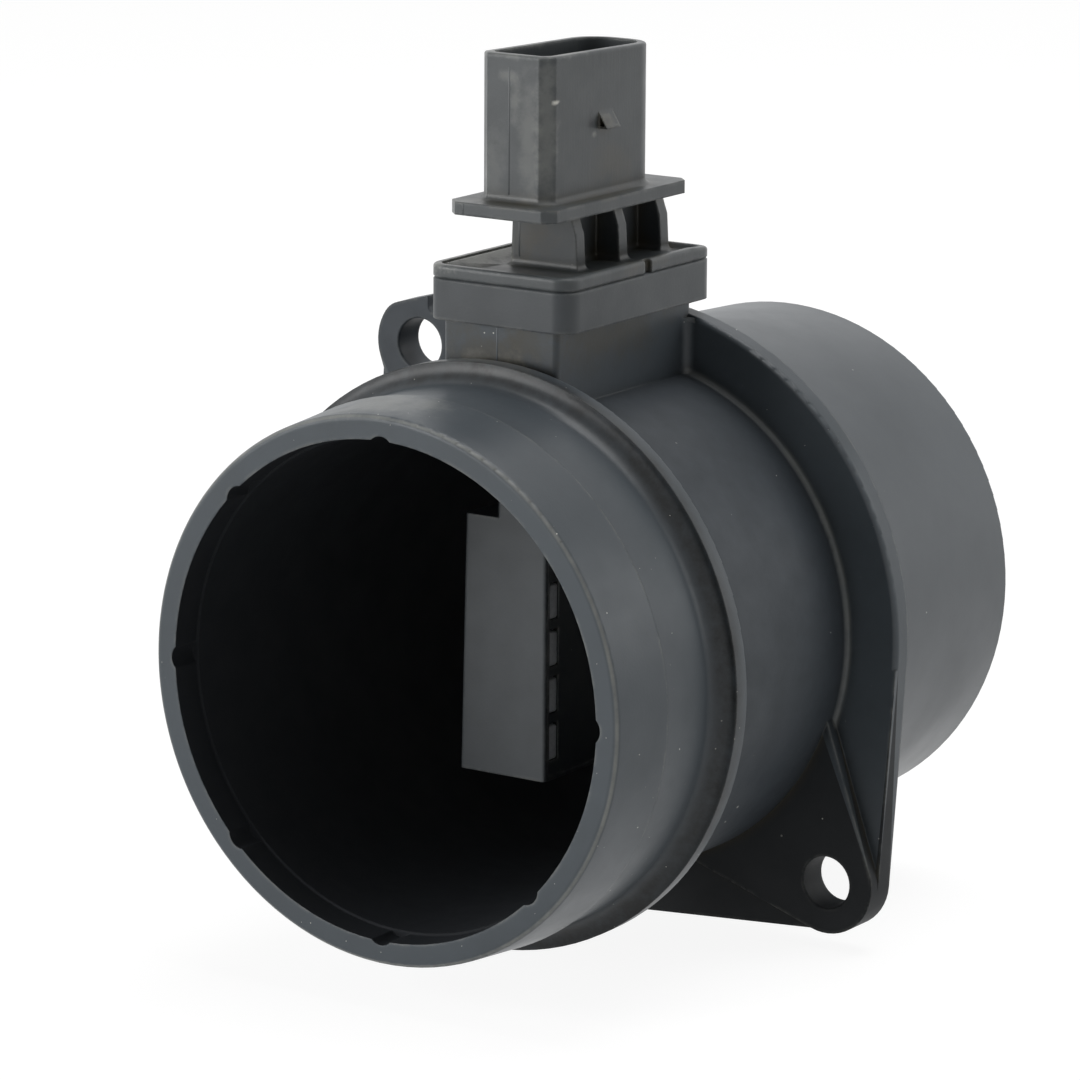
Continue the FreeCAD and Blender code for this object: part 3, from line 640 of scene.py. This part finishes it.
def finish_of(name):
    """The material of that name, made at its first use."""
    if name in bpy.data.materials:
        return bpy.data.materials[name]
    c = bpy.context.scene.airflow_colours
    makers = {
        # Matte grey black nylon with short glass fibres; dusty specks, dull broad highlights, and
        # painted shade darkening its corners.
        "glass_filled_nylon_moulded": lambda n: moulded_plastic(
            n, c.housing, 0.38, 0.31, speck_share=0.8, speck_pitch=1.7, speck_radius=0.1,
            dirt_and_shade_reach=4.0, dirt_and_shade_share=0.95, dirt=c.corner_shade, marks=tower_marks(c),
            rings=tube_rings(c),
        ),
        # The barrel between collar and flange, and the upper ear: painted shade as a darker,
        # duller copy of the housing nylon, cloudy, with painted shade in its corners.
        "glass_filled_nylon_barrel_shade": lambda n: moulded_plastic(
            n, c.barrel, 0.50, 0.26, mottle=5.0, mottle_share=0.16, dirt_and_shade_reach=3.0,
            dirt_and_shade_share=0.8, dirt=c.corner_shade, rings=tube_rings(c), speck_share=0.4,
        ),
        # Front of the low ear: painted shade as a darker, duller copy of the housing nylon.
        "glass_filled_nylon_low_ear_shade": lambda n: moulded_plastic(
            n, c.low_ear_shade, 0.54, 0.14, dirt_and_shade_reach=2.0, speck_share=0.15
        ),
        # The same nylon inside the tube: painted shade as a dark, dull copy of it.
        "glass_filled_nylon_bore_shade": lambda n: moulded_plastic(
            n, c.bore_shade, 0.62, 0.10, speck_share=0.0, edge_share=0.0, dirt_and_shade_share=0.0
        ),
        # Smoother nylon where the drum's mould was polished; a paler, wider sheen.
        "glass_filled_nylon_drum": lambda n: moulded_plastic(
            n, c.housing, 0.36, 0.48, grain_depth=0.006, mottle=16.0, speck_share=0.06
        ),
        # Satin polyester of the cover, with faint lines along the way it left the mould.
        "glass_filled_polyester_cover": lambda n: moulded_plastic(
            n, c.cover, 0.38, 0.42, mottle=4.0, mottle_share=0.14, speck_share=0.08,
            dirt_and_shade_share=0.9, streak=(2.2, 2.2, 0.12), marks=cover_marks(c), soften=1.3,
        ),
        # The thin flash along a mould seam: the plastic around it, with crisp edges.
        "polyester_flash": lambda n: moulded_plastic(
            n, c.cover, 0.38, 0.42, speck_share=0.0, dirt_and_shade_share=0.0, edge_share=0.0, soften=0.1
        ),
        "nylon_flash": lambda n: moulded_plastic(
            n, c.housing, 0.38, 0.31, speck_share=0.0, dirt_and_shade_share=0.0, edge_share=0.0, soften=0.1
        ),
        # The same polyester on the carrier, a little darker and duller.
        "glass_filled_polyester_carrier": lambda n: moulded_plastic(
            n, c.carrier, 0.42, 0.40, mottle=5.0, speck_share=0.1
        ),
        # Thin walled black polyester, even and dull.
        "moulded_polyester_grid": lambda n: moulded_plastic(
            n, c.grid, 0.5, 0.35, mottle=9.0, speck_share=0.0, edge_share=0.15
        ),
        # Etched aluminium strip: matte and pale, with no mirror in it.
        "etched_aluminium": lambda n: grained_material(
            n, c.etched, 0.8, 0.3, (0.6, 0.6, 0.6), 0.12, 0.01
        ),
        # Rolled aluminium plate: fine lines along the roll, cool grey.
        "rolled_aluminium": lambda n: grained_material(
            n, c.aluminium, 0.42, 1.0, (0.8, 0.8, 6.0), 0.18, 0.004
        ),
        # Drawn spring wire: grey, with a fine even grain.
        "drawn_spring_steel": lambda n: grained_material(
            n, c.steel, 0.36, 1.0, (0.5, 0.5, 0.5), 0.2, 0.004
        ),
        # Tin over brass: warm pale grey with soft wipe marks.
        "tin_plated_brass": lambda n: grained_material(
            n, c.tin, 0.33, 1.0, (0.5, 0.5, 3.0), 0.15, 0.002
        ),
        # Fired alumina: off white with a fine tooth.
        "fired_alumina": lambda n: grained_material(
            n, c.ceramic, 0.6, 0.0, (0.3, 0.3, 0.3), 0.06, 0.004
        ),
        # Silicone: deep grey, dull and slightly cloudy.
        "silicone_rubber": lambda n: grained_material(
            n, c.rubber, 0.66, 0.0, (1.5, 1.5, 1.5), 0.12, 0.006, 0.35
        ),
        # Epoxy moulding of a chip: fine grain.
        "moulded_epoxy": lambda n: grained_material(
            n, c.resin, 0.55, 0.0, (0.2, 0.2, 0.2), 0.15, 0.004
        ),
        # Glass over a thin film: dark and glossy with faint bands.
        "glass_coated_film": lambda n: grained_material(
            n, c.film, 0.16, 0.0, (0.4, 0.4, 1.5), 0.3, 0.001
        ),
        # Dipped resin: glossy brown black, slightly lumpy.
        "dipped_resin": lambda n: grained_material(
            n, c.bead, 0.25, 0.0, (0.9, 0.9, 0.9), 0.15, 0.012
        ),
        # Fired brown ceramic of a capacitor.
        "fired_brown_ceramic": lambda n: grained_material(
            n, c.capacitor, 0.5, 0.0, (0.3, 0.3, 0.3), 0.12, 0.004
        ),
    }
    return makers[name](name)


def deselect():
    """Leaves nothing selected and no object in edit mode."""
    if bpy.context.mode != "OBJECT":
        bpy.ops.object.mode_set(mode="OBJECT")
    bpy.ops.object.select_all(action="DESELECT")


def activate(piece):
    """Makes the piece the only selected object."""
    deselect()
    piece.select_set(True)
    bpy.context.view_layer.objects.active = piece


def settle(piece, name, material):
    """Names the piece, gives it its finish and seats it on the part."""
    piece.name = name
    piece.data.name = name
    piece.data.materials.clear()
    piece.data.materials.append(finish_of(material))
    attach(piece, BODY)
    return piece


def dress(node, material):
    """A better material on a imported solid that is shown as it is."""
    for slot in frame["nodes"][node].material_slots:
        slot.material = finish_of(material)


def smooth_skin(node, name, material, reshape=None):
    """A merged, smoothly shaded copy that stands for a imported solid.

    Flat and wide faces keep their own normals, so that narrow roundings take up the turn.
    """
    shapes = bpy.context.scene.airflow_shapes
    solid = frame["nodes"][node]
    activate(solid)
    bpy.ops.object.duplicate()
    skin = bpy.context.view_layer.objects.active
    activate(skin)
    bpy.ops.object.parent_clear(type="CLEAR_KEEP_TRANSFORM")
    bpy.ops.object.transform_apply(location=True, rotation=True, scale=True)
    bpy.ops.object.mode_set(mode="EDIT")
    bpy.ops.mesh.select_all(action="SELECT")
    bpy.ops.mesh.remove_doubles(threshold=shapes.merge_distance)
    bpy.ops.object.mode_set(mode="OBJECT")
    bpy.ops.mesh.customdata_custom_splitnormals_clear()
    if reshape:
        reshape(skin)
    bpy.ops.object.shade_smooth_by_angle(angle=shapes.smooth_angle)
    bpy.ops.object.modifier_add(type="WEIGHTED_NORMAL")
    weigh = skin.modifiers[-1]
    weigh.mode = "FACE_AREA_WITH_ANGLE"
    weigh.keep_sharp = True
    bpy.ops.object.modifier_apply(modifier=weigh.name)
    settle(skin, name, material)
    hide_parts(node)
    return skin


def raise_tray(skin):
    """Lets the cover's tray rise to its left rim."""
    bpy.ops.object.mode_set(mode="EDIT")
    bpy.ops.mesh.select_mode(type="VERT")
    bpy.ops.mesh.select_all(action="DESELECT")
    bpy.ops.object.mode_set(mode="OBJECT")
    for vertex in skin.data.vertices:
        place = vertex.co / MM
        vertex.select = abs(place.z - TRAY_FLOOR) < NEAR and place.x < TRAY_LEFT
    bpy.ops.object.mode_set(mode="EDIT")
    bpy.ops.transform.translate(value=(0, 0, bpy.context.scene.airflow_shapes.tray_rise))
    bpy.ops.object.mode_set(mode="OBJECT")


def paint_faces(piece, material, chosen):
    """Gives another material to the faces for which chosen(centre, normal) is true."""
    piece.data.materials.append(finish_of(material))
    index = len(piece.data.materials) - 1
    for face in piece.data.polygons:
        if chosen(face.center / MM, face.normal):
            face.material_index = index


def ridge(name, centre, size, proud, slot, material):
    """A thin seam or pad with rounded long edges. Proud is the way it stands out."""
    deselect()
    bpy.ops.mesh.primitive_cube_add(size=1, location=Vector(centre) * MM)
    seam = bpy.context.object
    bpy.ops.object.mode_set(mode="EDIT")
    bpy.ops.mesh.select_all(action="SELECT")
    bpy.ops.transform.resize(value=Vector(size) * MM)
    bpy.ops.object.mode_set(mode="OBJECT")
    outward = Vector(proud)
    diagonal = Vector(size).normalized()
    for edge in seam.data.edges:
        start, end = (seam.data.vertices[v].co for v in edge.vertices)
        in_front = start.dot(outward) > 0 and end.dot(outward) > 0
        long_way = (end - start).normalized().dot(diagonal) ** 2 > 0.5
        edge.select = in_front and long_way
    bpy.ops.object.mode_set(mode="EDIT")
    bpy.ops.mesh.select_mode(type="EDGE")
    bpy.ops.mesh.bevel(offset=ROUNDED_SHARE * min(size) * MM, segments=3, affect="EDGES")
    bpy.ops.object.mode_set(mode="OBJECT")
    bpy.ops.object.transform_apply(location=True, rotation=True, scale=True)
    bpy.ops.object.shade_smooth_by_angle(angle=bpy.context.scene.airflow_shapes.smooth_angle)
    return settle(seam, name, material)


def repeat(piece, name, step, slot, material):
    """A copy of a piece with its own mesh, moved by a step."""
    activate(piece)
    bpy.ops.object.duplicate()
    copy = bpy.context.view_layer.objects.active
    bpy.ops.object.parent_clear(type="CLEAR_KEEP_TRANSFORM")
    bpy.ops.transform.translate(value=Vector(step) * MM)
    bpy.ops.object.transform_apply(location=True, rotation=True, scale=True)
    return settle(copy, name, material)


class AIRFLOW_OT_tube_housing(bpy.types.Operator):
    """Skin of the tube: spigot, collar, barrel, tower, flange with ears, and drum"""

    bl_idname = "airflow.tube_housing"
    bl_label = "Tube housing"

    def execute(self, context):
        skin = smooth_skin(
            "tube_housing", "housing_moulding", "glass_filled_nylon_moulded"
        )
        grid_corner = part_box("flow_grid")[1] / MM
        bore_radius = grid_corner.x + BORE_SPARE
        mouth = cad_box[0].y / MM

        def outward_share(centre, normal):
            """How far a face looks away from the tube's axis, times its radius."""
            return normal.x * centre.x + normal.z * centre.z

        def inside(centre, normal):
            radius = math.hypot(centre.x, centre.z)
            inward = outward_share(centre, normal) < 0
            within = radius < BARREL_RADIUS - TUBE_WALL or radius < bore_radius and inward
            return within and mouth + NEAR < centre.y < grid_corner.y

        def drum(centre, normal):
            radius = math.hypot(centre.x, centre.z)
            return centre.y > DRUM_START and radius < DRUM_RADIUS + DRUM_SPARE

        def barrel(centre, normal):
            radius = math.hypot(centre.x, centre.z)
            away = outward_share(centre, normal) > 0.5 * radius
            along = COLLAR_BACK < centre.y < FLANGE_FRONT - NEAR
            return along and away and radius < BARREL_RADIUS + BARREL_SPARE

        def before_rear(centre, normal):
            """On the flange or an ear block, but not on the flat rear."""
            return EAR_FRONT < centre.y < FLANGE_REAR and normal.y < 0.5

        def low_ear(centre, normal):
            radius = math.hypot(centre.x, centre.z)
            low = centre.z < LOW_EAR_TOP and radius > BARREL_RADIUS + EAR_SPARE
            return low and before_rear(centre, normal)

        def upper_ear(centre, normal):
            high = centre.x < -EAR_LEFT and centre.z > EAR_LOW
            return high and before_rear(centre, normal)

        paint_faces(skin, "glass_filled_nylon_drum", drum)
        # Painted shade: the barrel and upper ear, the low ear and the tube's inside get darker
        # copies of the nylon.
        paint_faces(skin, "glass_filled_nylon_barrel_shade", upper_ear)
        paint_faces(skin, "glass_filled_nylon_barrel_shade", barrel)
        paint_faces(skin, "glass_filled_nylon_low_ear_shade", low_ear)
        paint_faces(skin, "glass_filled_nylon_bore_shade", inside)
        return {"FINISHED"}


class AIRFLOW_OT_flow_grid(bpy.types.Operator):
    """Honeycomb flow grid in the drum and the steel ring that holds it"""

    bl_idname = "airflow.flow_grid"
    bl_label = "Flow grid and ring"

    def execute(self, context):
        dress("flow_grid", "moulded_polyester_grid")
        smooth_skin(
            "grid_retaining_ring", "retaining_ring", "drawn_spring_steel"
        )
        return {"FINISHED"}


class AIRFLOW_OT_sensor_carrier(bpy.types.Operator):
    """Carrier with its block, plug and measuring body, side cover and shield strip"""

    bl_idname = "airflow.sensor_carrier"
    bl_label = "Sensor carrier"

    def execute(self, context):
        smooth_skin(
            "sensor_carrier", "carrier_moulding",
            "glass_filled_polyester_carrier",
        )
        dress("bypass_side_cover", "glass_filled_polyester_carrier")
        dress("bypass_shield_strip", "etched_aluminium")
        low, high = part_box("bypass_shield_strip")
        middle = (low + high) / 2 / MM
        face = high.x / MM
        metal = ("plain_aluminium", "etched_aluminium")
        pad = ridge(
            "shield_pad_1",
            (face + PAD_THICKNESS / 2 - PAD_SUNK, middle.y + SLOT_SHIFT, SLOT_LOW),
            (PAD_THICKNESS, PAD_WIDTH, PAD_HEIGHT), (1, 0, 0), *metal,
        )
        for index in range(1, SLOT_COUNT):
            repeat(pad, f"shield_pad_{index + 1}", (0, 0, index * SLOT_PITCH), *metal)
        return {"FINISHED"}


class AIRFLOW_OT_connector_cover(bpy.types.Operator):
    """Cover with its ribbed neck, plate, shroud and latch nub"""

    bl_idname = "airflow.connector_cover"
    bl_label = "Connector cover"

    def execute(self, context):
        smooth_skin(
            "connector_cover", "connector_moulding",
            "glass_filled_polyester_cover", raise_tray,
        )
        return {"FINISHED"}


class AIRFLOW_OT_mould_seams(bpy.types.Operator):
    """Fine raised lines where the mould halves met"""

    bl_idname = "airflow.mould_seams"
    bl_label = "Mould seams"

    def execute(self, context):
        shapes = context.scene.airflow_shapes
        width = shapes.seam_width / MM
        height = shapes.seam_height / MM
        front = (0, -1, 0)
        cover = ("cover_plastic", "polyester_flash")
        housing = ("housing_plastic", "nylon_flash")
        # Each seam's name, x, the y of the face that it is on, lowest and highest z, and plastic.
        seams = (
            ("shroud_seam", -0.7, -34.5, 66.9, 85.3, cover),
            ("plate_seam", -6.1, -38.3, 64.1, 65.6, cover),
            ("neck_seam", -4.4, -26.25, 56.4, 62.6, cover),
            ("tower_seam", -0.5, -37.65, 39.6, 48.0, housing),
        )
        for name, x, face, low, high, plastic in seams:
            centre = (x, face, (low + high) / 2)
            ridge(name, centre, (width, 2 * height, high - low), front, *plastic)
        return {"FINISHED"}


class AIRFLOW_OT_seals(bpy.types.Operator):
    """Ring seal on the plug and the cured bond under the cover"""

    bl_idname = "airflow.seals"
    bl_label = "Seals"

    def execute(self, context):
        for node in ("plug_seal", "cover_bond_ring"):
            dress(node, "silicone_rubber")
        return {"FINISHED"}


class AIRFLOW_OT_measuring_parts(bpy.types.Operator):
    """Measuring strip with its hot film, and the air temperature bead on its leads"""

    bl_idname = "airflow.measuring_parts"
    bl_label = "Measuring parts"

    def execute(self, context):
        dress("measuring_strip", "fired_alumina")
        dress("hot_film_element", "glass_coated_film")
        smooth_skin("air_temperature_bead", "temperature_bead", "dipped_resin")
        for end in ("front", "rear"):
            smooth_skin(
                f"temperature_lead_{end}", f"bead_lead_{end}", "tin_plated_brass"
            )
        return {"FINISHED"}


class AIRFLOW_OT_electronics(bpy.types.Operator):
    """Board, chips, capacitors and heat spreader in the sealed chamber"""

    bl_idname = "airflow.electronics"
    bl_label = "Electronics"

    def execute(self, context):
        dress("circuit_board", "fired_alumina")
        dress("heat_spreader", "rolled_aluminium")
        for chip in ("signal_chip", "power_chip"):
            dress(chip, "moulded_epoxy")
        for number in (1, 2, 3):
            dress(f"capacitor_{number}", "fired_brown_ceramic")
        return {"FINISHED"}


class AIRFLOW_OT_terminals(bpy.types.Operator):
    """Five plated pins in the connector shroud"""

    bl_idname = "airflow.terminals"
    bl_label = "Terminals"

    def execute(self, context):
        for number in range(1, 6):
            dress(f"terminal_{number}", "tin_plated_brass")
        return {"FINISHED"}


def softbox(name, place, aim, size, power):
    """A square area lamp aimed at a point, in metres."""
    deselect()
    bpy.ops.object.light_add(type="AREA", location=place)
    lamp = bpy.context.object
    lamp.name = name
    lamp.data.shape = "SQUARE"
    lamp.data.size = size
    lamp.data.energy = power
    way = Vector(place) - Vector(aim)
    lamp.rotation_euler = way.to_track_quat("Z", "Y").to_euler()


def seen_directly(tree):
    """1 on camera, glossy and transmission rays, and 0 on the rays that light the object."""
    path = add_node(tree, "ShaderNodeLightPath")
    first = add_node(
        tree, "ShaderNodeMath", {0: (path, "Is Camera Ray"), 1: (path, "Is Glossy Ray")},
        operation="MAXIMUM",
    )
    return add_node(
        tree, "ShaderNodeMath", {0: (first, "Value"), 1: (path, "Is Transmission Ray")},
        operation="MAXIMUM",
    )


def floor_material(base):
    """Matte pale board, which shows nearly white and keeps the object's soft shadow."""
    material = bpy.data.materials.new("matte_pale_board")
    material.use_nodes = True
    tree = material.node_tree
    tree.nodes.clear()
    place = add_node(tree, "ShaderNodeTexCoord")
    fibre = add_node(
        tree, "ShaderNodeTexNoise",
        {"Vector": (place, "Object"), "Scale": 1 / FLOOR_FIBRE, "Detail": 4.0},
    )
    shade = tinted(tree, base, (fibre, "Fac"), {}, 0.99, 1.0)
    matte = add_node(tree, "ShaderNodeBsdfDiffuse", {"Color": (shade, "Result")})
    white = add_node(
        tree, "ShaderNodeEmission", {"Color": rgba(WHITE), "Strength": FLOOR_WHITE}
    )
    share = add_node(
        tree, "ShaderNodeMath", {0: (seen_directly(tree), "Value"), 1: FLOOR_WHITE_SHARE},
        operation="MULTIPLY",
    )
    mix = add_node(
        tree, "ShaderNodeMixShader",
        {0: (share, "Value"), 1: (matte, "BSDF"), 2: (white, "Emission")},
    )
    add_node(tree, "ShaderNodeOutputMaterial", {"Surface": (mix, "Shader")})
    return material


def white_world(strength):
    """World that lights the object from all round, and is white where it is seen."""
    world = bpy.data.worlds.new("white_room")
    world.use_nodes = True
    tree = world.node_tree
    tree.nodes.clear()
    room, white = (
        add_node(tree, "ShaderNodeBackground", {"Color": rgba(WHITE), "Strength": level})
        for level in (strength, 1.0)
    )
    mix = add_node(
        tree, "ShaderNodeMixShader",
        {0: (seen_directly(tree), "Value"), 1: (room, "Background"), 2: (white, "Background")},
    )
    add_node(tree, "ShaderNodeOutputWorld", {"Surface": (mix, "Shader")})
    return world


def photograph_camera(stage):
    """Camera at the photograph's place, which turns about its own axis by the roll."""
    turn, rise, roll = stage.azimuth, stage.elevation, stage.roll
    back = Vector(
        (math.sin(turn) * math.cos(rise), -math.cos(turn) * math.cos(rise), math.sin(rise))
    )
    level = Vector((math.cos(turn), math.sin(turn), 0))
    upright = back.cross(level)
    right = level * math.cos(roll) + upright * math.sin(roll)
    up = upright * math.cos(roll) - level * math.sin(roll)
    aim = Vector((0, -stage.aim_y, 0))
    place = aim + back * stage.distance + right * stage.right + up * stage.up
    bpy.ops.object.camera_add(location=place)
    camera = bpy.context.object
    camera.name = "photograph_camera"
    camera.matrix_world = Matrix.LocRotScale(place, Matrix((right, up, back)).transposed(), None)
    camera.data.sensor_width = SENSOR_WIDTH
    camera.data.lens = stage.lens
    camera.data.clip_start = NEAREST_SEEN
    camera.data.dof.use_dof = False
    return camera


class AIRFLOW_OT_stage(bpy.types.Operator):
    """Pale floor, soft light and the photograph's camera"""

    bl_idname = "airflow.stage"
    bl_label = "Stage"

    def execute(self, context):
        scene = context.scene
        stage = scene.airflow_stage
        low, high = cad_box

        deselect()
        bpy.ops.mesh.primitive_plane_add(size=stage.floor_size, location=(0, 0, low.z))
        floor = context.object
        bpy.ops.object.transform_apply(location=True, rotation=True, scale=True)
        floor.name = "floor"
        floor.data.materials.append(floor_material(scene.airflow_colours.floor))

        # Each softbox's name, its place and size in metres, and its power.
        softboxes = (
            ("key_softbox", (-0.9, -1.2, 0.4), 0.9, stage.key_power),
            ("top_softbox", (0.1, 0.25, 1.3), 0.9, stage.top_power),
            ("rear_softbox", (1.1, 0.8, 0.5), 0.8, stage.rear_power),
        )
        for name, place, size, power in softboxes:
            softbox(name, place, (low + high) / 2, size, power)
        scene.world = white_world(stage.world_light)
        scene.camera = photograph_camera(stage)
        scene.view_settings.view_transform = "Standard"
        return {"FINISHED"}


PIECES = (
    AIRFLOW_OT_tube_housing,
    AIRFLOW_OT_flow_grid,
    AIRFLOW_OT_sensor_carrier,
    AIRFLOW_OT_connector_cover,
    AIRFLOW_OT_mould_seams,
    AIRFLOW_OT_seals,
    AIRFLOW_OT_measuring_parts,
    AIRFLOW_OT_electronics,
    AIRFLOW_OT_terminals,
    AIRFLOW_OT_stage,
)


class AIRFLOW_PT_panel(bpy.types.Panel):
    """Lists the pieces, their sizes and their colours"""

    bl_idname = "AIRFLOW_PT_panel"
    bl_label = "Airflow sensor"
    bl_space_type = "VIEW_3D"
    bl_region_type = "UI"
    bl_category = "Airflow sensor"

    def draw(self, context):
        layout = self.layout
        scene = context.scene
        for group in (scene.airflow_shapes, scene.airflow_colours, scene.airflow_stage):
            box = layout.box()
            for key in group.bl_rna.properties.keys():
                if key not in ("rna_type", "name"):
                    box.prop(group, key)
        for piece in PIECES:
            layout.operator(piece.bl_idname)


CLASSES = (AirflowShapes, AirflowColours, AirflowStage, *PIECES, AIRFLOW_PT_panel)


def register():
    """Adds the classes and their settings to Blender."""
    for item in CLASSES:
        bpy.utils.register_class(item)
    bpy.types.Scene.airflow_shapes = PointerProperty(type=AirflowShapes)
    bpy.types.Scene.airflow_colours = PointerProperty(type=AirflowColours)
    bpy.types.Scene.airflow_stage = PointerProperty(type=AirflowStage)


def unregister():
    """Takes them away again."""
    del bpy.types.Scene.airflow_stage
    del bpy.types.Scene.airflow_colours
    del bpy.types.Scene.airflow_shapes
    for item in reversed(CLASSES):
        bpy.utils.unregister_class(item)


def main():
    """Registers the add-on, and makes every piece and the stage."""
    register()
    for piece in PIECES:
        group, name = piece.bl_idname.split(".")
        getattr(getattr(bpy.ops, group), name)()


if __name__ == "__main__":
    main()
